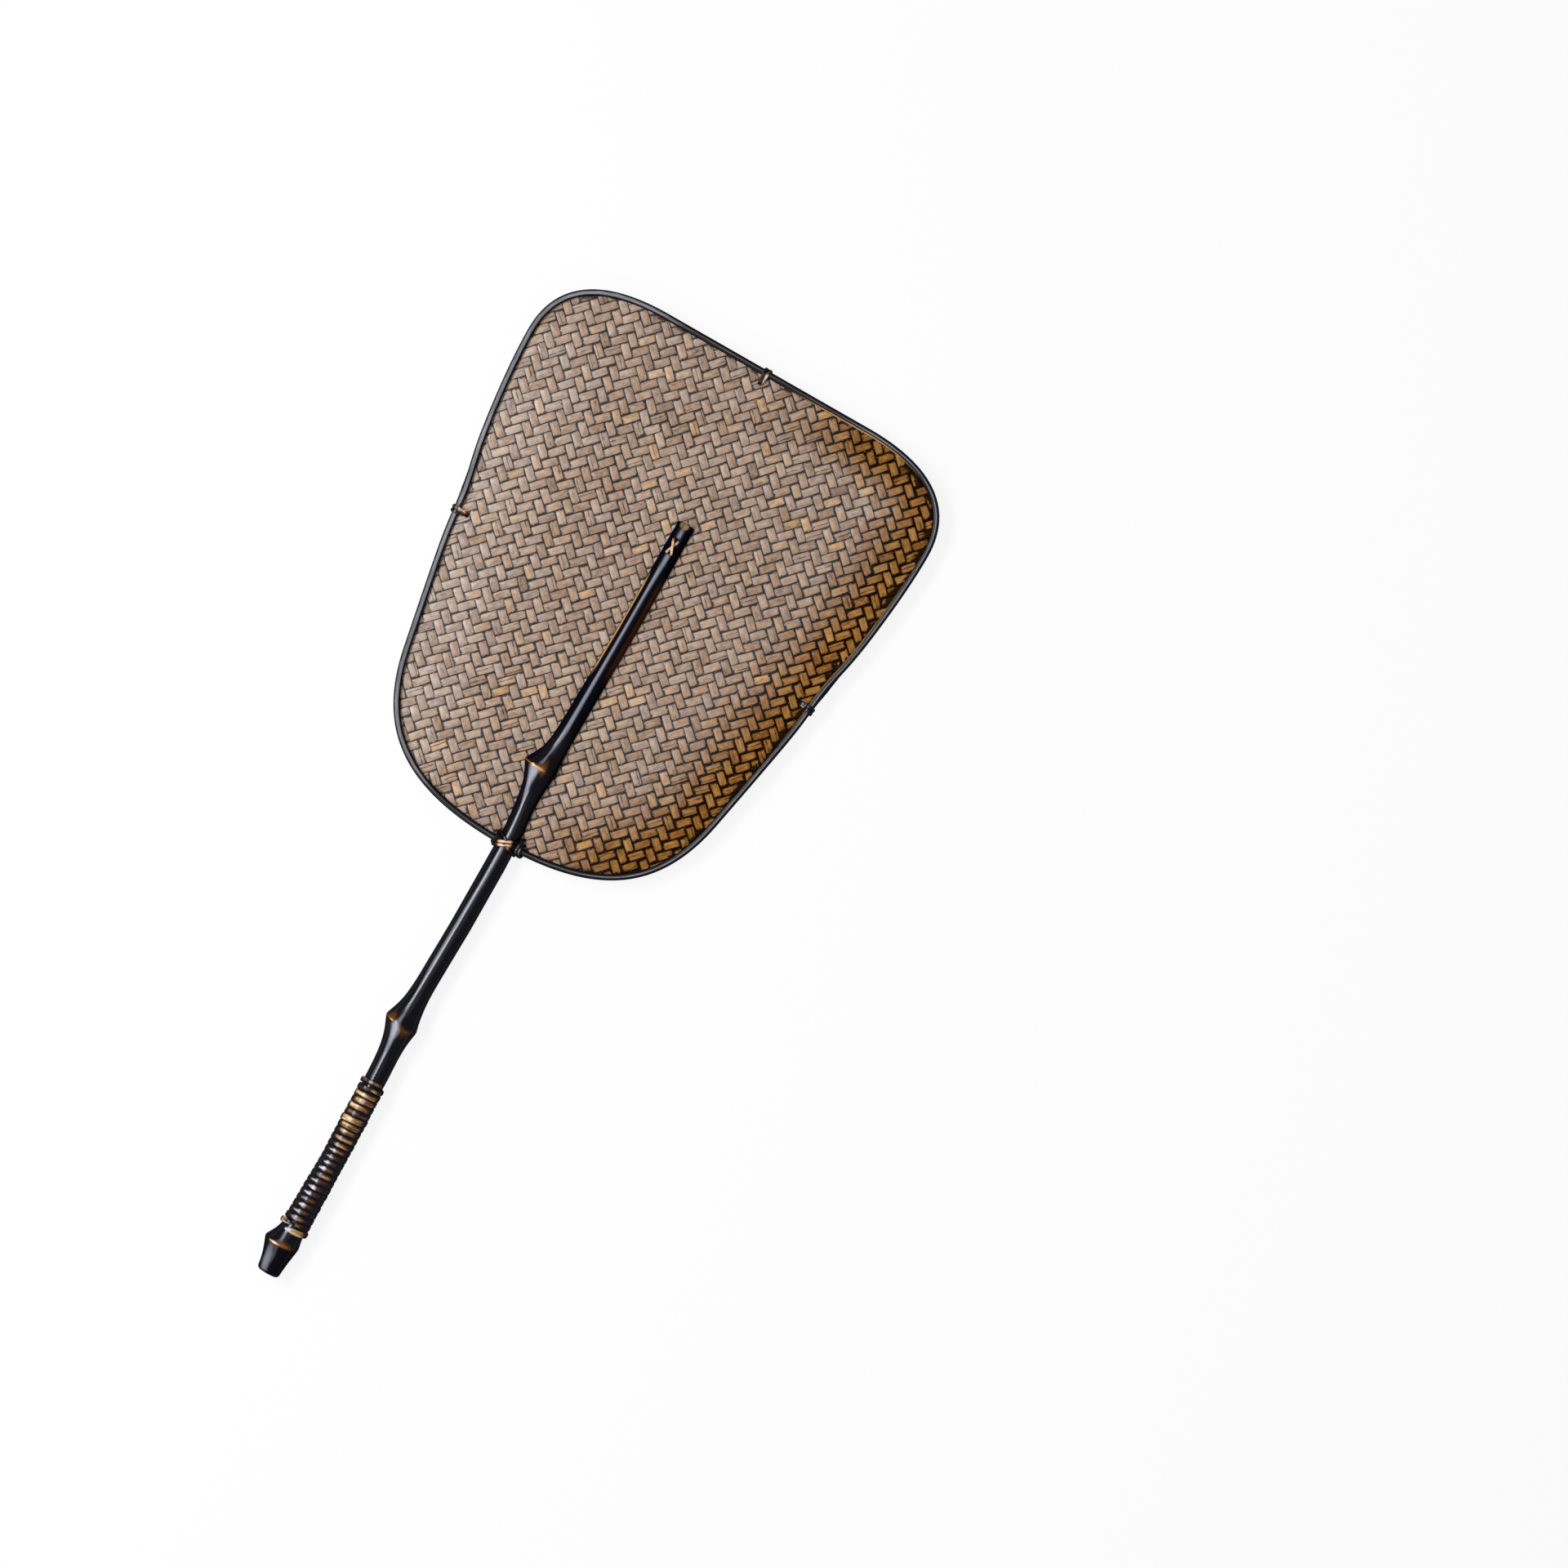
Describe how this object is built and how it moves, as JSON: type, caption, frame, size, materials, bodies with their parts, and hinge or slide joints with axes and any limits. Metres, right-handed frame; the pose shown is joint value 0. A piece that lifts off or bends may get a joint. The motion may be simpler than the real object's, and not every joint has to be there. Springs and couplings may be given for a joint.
{
  "type": "woven hand fan",
  "caption": "Flat hand fan: a twill-woven bamboo face clamped in a split rim and held in the slit of a bamboo stick handle with a cane-wound grip.",
  "frame": {"origin": "middle of the underside of the fan's bounding box, with the fan lying flat on its back", "axes": "+Y along the handle towards the top of the face, +Z out of the front of the face, +X to the right seen from the front"},
  "size_m": [0.2094, 0.4704, 0.0163],
  "materials": {
    "black_lacquered_bamboo": "near-black gloss lacquer, worn to golden brown on the node ridges",
    "woven_bamboo": "brown stained split bamboo with a satin sheen, darker in the gaps",
    "rim_bamboo": "dark lacquered split bamboo, worn satin",
    "worn_cane": "cane worn to golden brown",
    "lacquered_cane": "dark lacquered cane with worn golden crowns"
  },
  "bodies": {
    "root": {"bamboo_handle": "black_lacquered_bamboo", "woven_mat": "woven_bamboo", "rim_hoop_front": "rim_bamboo", "rim_hoop_back": "rim_bamboo", "rim_tie_top": "worn_cane", "rim_tie_left": "worn_cane", "rim_tie_right": "worn_cane", "crossing_lashing": "worn_cane", "tip_stitch": "worn_cane", "grip_winding": "lacquered_cane", "grip_collar_top": "lacquered_cane", "grip_collar_butt": "lacquered_cane"}
  },
  "joints": []
}
